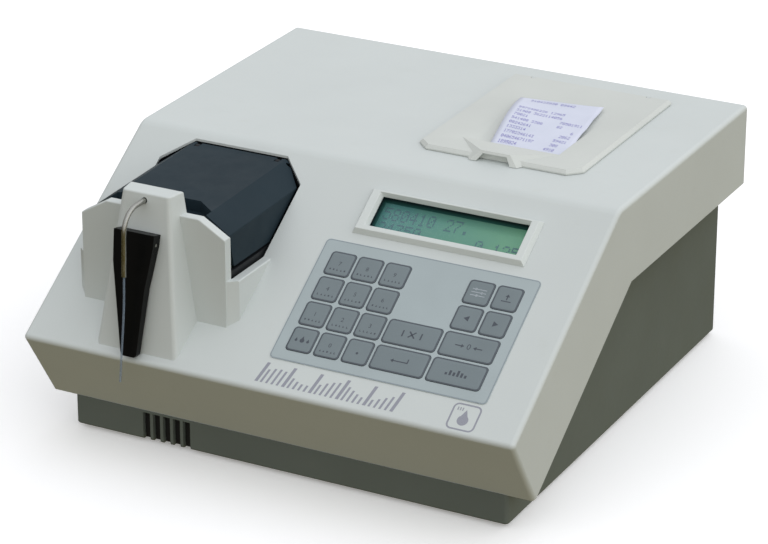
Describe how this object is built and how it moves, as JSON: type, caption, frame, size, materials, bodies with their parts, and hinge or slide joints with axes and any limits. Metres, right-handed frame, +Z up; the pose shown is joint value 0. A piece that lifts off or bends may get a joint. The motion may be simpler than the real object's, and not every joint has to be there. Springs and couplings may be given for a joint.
{
  "type": "bench-top photometer",
  "caption": "Bench-top liquid-sample photometer: wedge case, sloping keypad and display, black hood over the flow cell, sipper tube on a tower with a lever, receipt printer on top.",
  "frame": {"origin": "bottom centre of the whole instrument, on the surface its rubber feet stand on", "axes": "+Z up, the nose and sipper tower face -Y, the rear connectors face +Y, +X to the operator's right"},
  "size_m": [0.342, 0.3759, 0.1787],
  "materials": {
    "casing": "fine moulded texture",
    "base_grey": "fine moulded texture",
    "trim": "smooth satin",
    "black_plastic": "fine moulded texture",
    "foil": "printed film",
    "key_film": "printed film",
    "window": "clear",
    "display": "backlit",
    "steel": "drawn",
    "capillary": "translucent",
    "optic": "polished",
    "motor_metal": "turned",
    "board": "solder mask",
    "rubber": "matt",
    "paper": "thermal paper"
  },
  "bodies": {
    "case": {"upper_casing": "casing", "lower_casing": "base_grey", "casing_screws": "steel", "rubber_feet": "rubber", "keypad_foil": "foil", "keypad_board": "board", "display_bezel": "trim", "display_window": "window", "lcd_module": "display", "hood_hinge_pin": "steel", "chamber_tray": "black_plastic", "cell_holder": "black_plastic", "flow_cell": "optic", "lamp": "motor_metal", "filter_motor": "motor_metal", "detector_board": "board", "lever_pin": "steel", "sipper_switch": "black_plastic", "sipper_tube": "steel", "sipper_capillary": "capillary", "pump_housing": "black_plastic", "pump_motor": "motor_metal", "cover_hinge_pin": "steel", "printer_frame": "black_plastic", "printer_motor": "motor_metal", "main_board": "board", "power_inlet": "black_plastic", "serial_port": "steel", "waste_nozzle": "black_plastic"},
    "hood": {"measuring_hood": "black_plastic"},
    "lever": {"sipper_lever": "black_plastic"},
    "plunger": {"switch_plunger": "black_plastic"},
    "wheel": {"filter_wheel": "motor_metal", "filter_set": "optic"},
    "rotor": {"pump_rotor": "trim"},
    "cover": {"printer_cover": "trim", "paper_strip": "paper"},
    "platen": {"platen_roller": "rubber"},
    "roll": {"paper_roll": "paper"},
    "rocker": {"power_rocker": "black_plastic"},
    "key_7": {"key_7": "key_film"},
    "key_8": {"key_8": "key_film"},
    "key_9": {"key_9": "key_film"},
    "key_4": {"key_4": "key_film"},
    "key_5": {"key_5": "key_film"},
    "key_6": {"key_6": "key_film"},
    "key_1": {"key_1": "key_film"},
    "key_2": {"key_2": "key_film"},
    "key_3": {"key_3": "key_film"},
    "key_wash": {"key_wash": "key_film"},
    "key_0": {"key_0": "key_film"},
    "key_point": {"key_point": "key_film"},
    "key_mode": {"key_mode": "key_film"},
    "key_line_feed": {"key_line_feed": "key_film"},
    "key_left": {"key_left": "key_film"},
    "key_right": {"key_right": "key_film"},
    "key_break": {"key_break": "key_film"},
    "key_zero": {"key_zero": "key_film"},
    "key_enter": {"key_enter": "key_film"},
    "key_result": {"key_result": "key_film"}
  },
  "joints": [
    {"name": "hood_hinge", "type": "hinge", "parent": "case", "child": "hood", "pos_m": [-0.092, -0.04425, 0.1616], "axis": [-1, 0, 0], "range_deg": [0, 95]},
    {"name": "lever_press", "type": "hinge", "parent": "case", "child": "lever", "pos_m": [-0.092, -0.16653, 0.14679], "axis": [1, 0, 0], "range_deg": [0, 2.1], "stiffness_Nm_per_rad": 0.5, "springref_deg": -1.72},
    {"name": "plunger_slide", "type": "slide", "parent": "case", "child": "plunger", "axis": [0, 0.9815, -0.1914], "range_m": [0, 0.00124]},
    {"name": "filter_wheel_turn", "type": "hinge", "parent": "case", "child": "wheel", "pos_m": [-0.11, -0.07475, 0.095], "axis": [1, 0, 0], "continuous": true},
    {"name": "pump_turn", "type": "hinge", "parent": "case", "child": "rotor", "pos_m": [-0.1, 0.03325, 0.065], "axis": [0, 1, 0], "continuous": true},
    {"name": "paper_roll_turn", "type": "hinge", "parent": "case", "child": "roll", "pos_m": [0.0683, 0.08625, 0.14], "axis": [1, 0, 0], "continuous": true},
    {"name": "platen_turn", "type": "hinge", "parent": "case", "child": "platen", "pos_m": [0.0683, 0.03125, 0.152], "axis": [1, 0, 0], "continuous": true},
    {"name": "printer_cover_hinge", "type": "hinge", "parent": "case", "child": "cover", "pos_m": [0.0683, 0.14925, 0.1713], "axis": [-1, 0, 0], "range_deg": [0, 95]},
    {"name": "power_rocker_tilt", "type": "hinge", "parent": "case", "child": "rocker", "pos_m": [0.1125, 0.17375, 0.037], "axis": [1, 0, 0], "range_deg": [-18, 0]},
    {"name": "key_7_press", "type": "slide", "parent": "case", "child": "key_7", "axis": [0, 0.5463, -0.8376], "range_m": [0, 0.0005], "stiffness_N_per_m": 600, "springref_m": -0.0002},
    {"name": "key_8_press", "type": "slide", "parent": "case", "child": "key_8", "axis": [0, 0.5463, -0.8376], "range_m": [0, 0.0005], "stiffness_N_per_m": 600, "springref_m": -0.0002},
    {"name": "key_9_press", "type": "slide", "parent": "case", "child": "key_9", "axis": [0, 0.5463, -0.8376], "range_m": [0, 0.0005], "stiffness_N_per_m": 600, "springref_m": -0.0002},
    {"name": "key_4_press", "type": "slide", "parent": "case", "child": "key_4", "axis": [0, 0.5463, -0.8376], "range_m": [0, 0.0005], "stiffness_N_per_m": 600, "springref_m": -0.0002},
    {"name": "key_5_press", "type": "slide", "parent": "case", "child": "key_5", "axis": [0, 0.5463, -0.8376], "range_m": [0, 0.0005], "stiffness_N_per_m": 600, "springref_m": -0.0002},
    {"name": "key_6_press", "type": "slide", "parent": "case", "child": "key_6", "axis": [0, 0.5463, -0.8376], "range_m": [0, 0.0005], "stiffness_N_per_m": 600, "springref_m": -0.0002},
    {"name": "key_1_press", "type": "slide", "parent": "case", "child": "key_1", "axis": [0, 0.5463, -0.8376], "range_m": [0, 0.0005], "stiffness_N_per_m": 600, "springref_m": -0.0002},
    {"name": "key_2_press", "type": "slide", "parent": "case", "child": "key_2", "axis": [0, 0.5463, -0.8376], "range_m": [0, 0.0005], "stiffness_N_per_m": 600, "springref_m": -0.0002},
    {"name": "key_3_press", "type": "slide", "parent": "case", "child": "key_3", "axis": [0, 0.5463, -0.8376], "range_m": [0, 0.0005], "stiffness_N_per_m": 600, "springref_m": -0.0002},
    {"name": "key_wash_press", "type": "slide", "parent": "case", "child": "key_wash", "axis": [0, 0.5463, -0.8376], "range_m": [0, 0.0005], "stiffness_N_per_m": 600, "springref_m": -0.0002},
    {"name": "key_0_press", "type": "slide", "parent": "case", "child": "key_0", "axis": [0, 0.5463, -0.8376], "range_m": [0, 0.0005], "stiffness_N_per_m": 600, "springref_m": -0.0002},
    {"name": "key_point_press", "type": "slide", "parent": "case", "child": "key_point", "axis": [0, 0.5463, -0.8376], "range_m": [0, 0.0005], "stiffness_N_per_m": 600, "springref_m": -0.0002},
    {"name": "key_mode_press", "type": "slide", "parent": "case", "child": "key_mode", "axis": [0, 0.5463, -0.8376], "range_m": [0, 0.0005], "stiffness_N_per_m": 600, "springref_m": -0.0002},
    {"name": "key_line_feed_press", "type": "slide", "parent": "case", "child": "key_line_feed", "axis": [0, 0.5463, -0.8376], "range_m": [0, 0.0005], "stiffness_N_per_m": 600, "springref_m": -0.0002},
    {"name": "key_left_press", "type": "slide", "parent": "case", "child": "key_left", "axis": [0, 0.5463, -0.8376], "range_m": [0, 0.0005], "stiffness_N_per_m": 600, "springref_m": -0.0002},
    {"name": "key_right_press", "type": "slide", "parent": "case", "child": "key_right", "axis": [0, 0.5463, -0.8376], "range_m": [0, 0.0005], "stiffness_N_per_m": 600, "springref_m": -0.0002},
    {"name": "key_break_press", "type": "slide", "parent": "case", "child": "key_break", "axis": [0, 0.5463, -0.8376], "range_m": [0, 0.0005], "stiffness_N_per_m": 600, "springref_m": -0.0002},
    {"name": "key_zero_press", "type": "slide", "parent": "case", "child": "key_zero", "axis": [0, 0.5463, -0.8376], "range_m": [0, 0.0005], "stiffness_N_per_m": 600, "springref_m": -0.0002},
    {"name": "key_enter_press", "type": "slide", "parent": "case", "child": "key_enter", "axis": [0, 0.5463, -0.8376], "range_m": [0, 0.0005], "stiffness_N_per_m": 600, "springref_m": -0.0002},
    {"name": "key_result_press", "type": "slide", "parent": "case", "child": "key_result", "axis": [0, 0.5463, -0.8376], "range_m": [0, 0.0005], "stiffness_N_per_m": 600, "springref_m": -0.0002}
  ],
  "couplings": [
    {"joint": "plunger_slide", "follows": "lever_press", "m_per_rad": 0.0336},
    {"joint": "platen_turn", "follows": "paper_roll_turn", "ratio": 4.2}
  ]
}
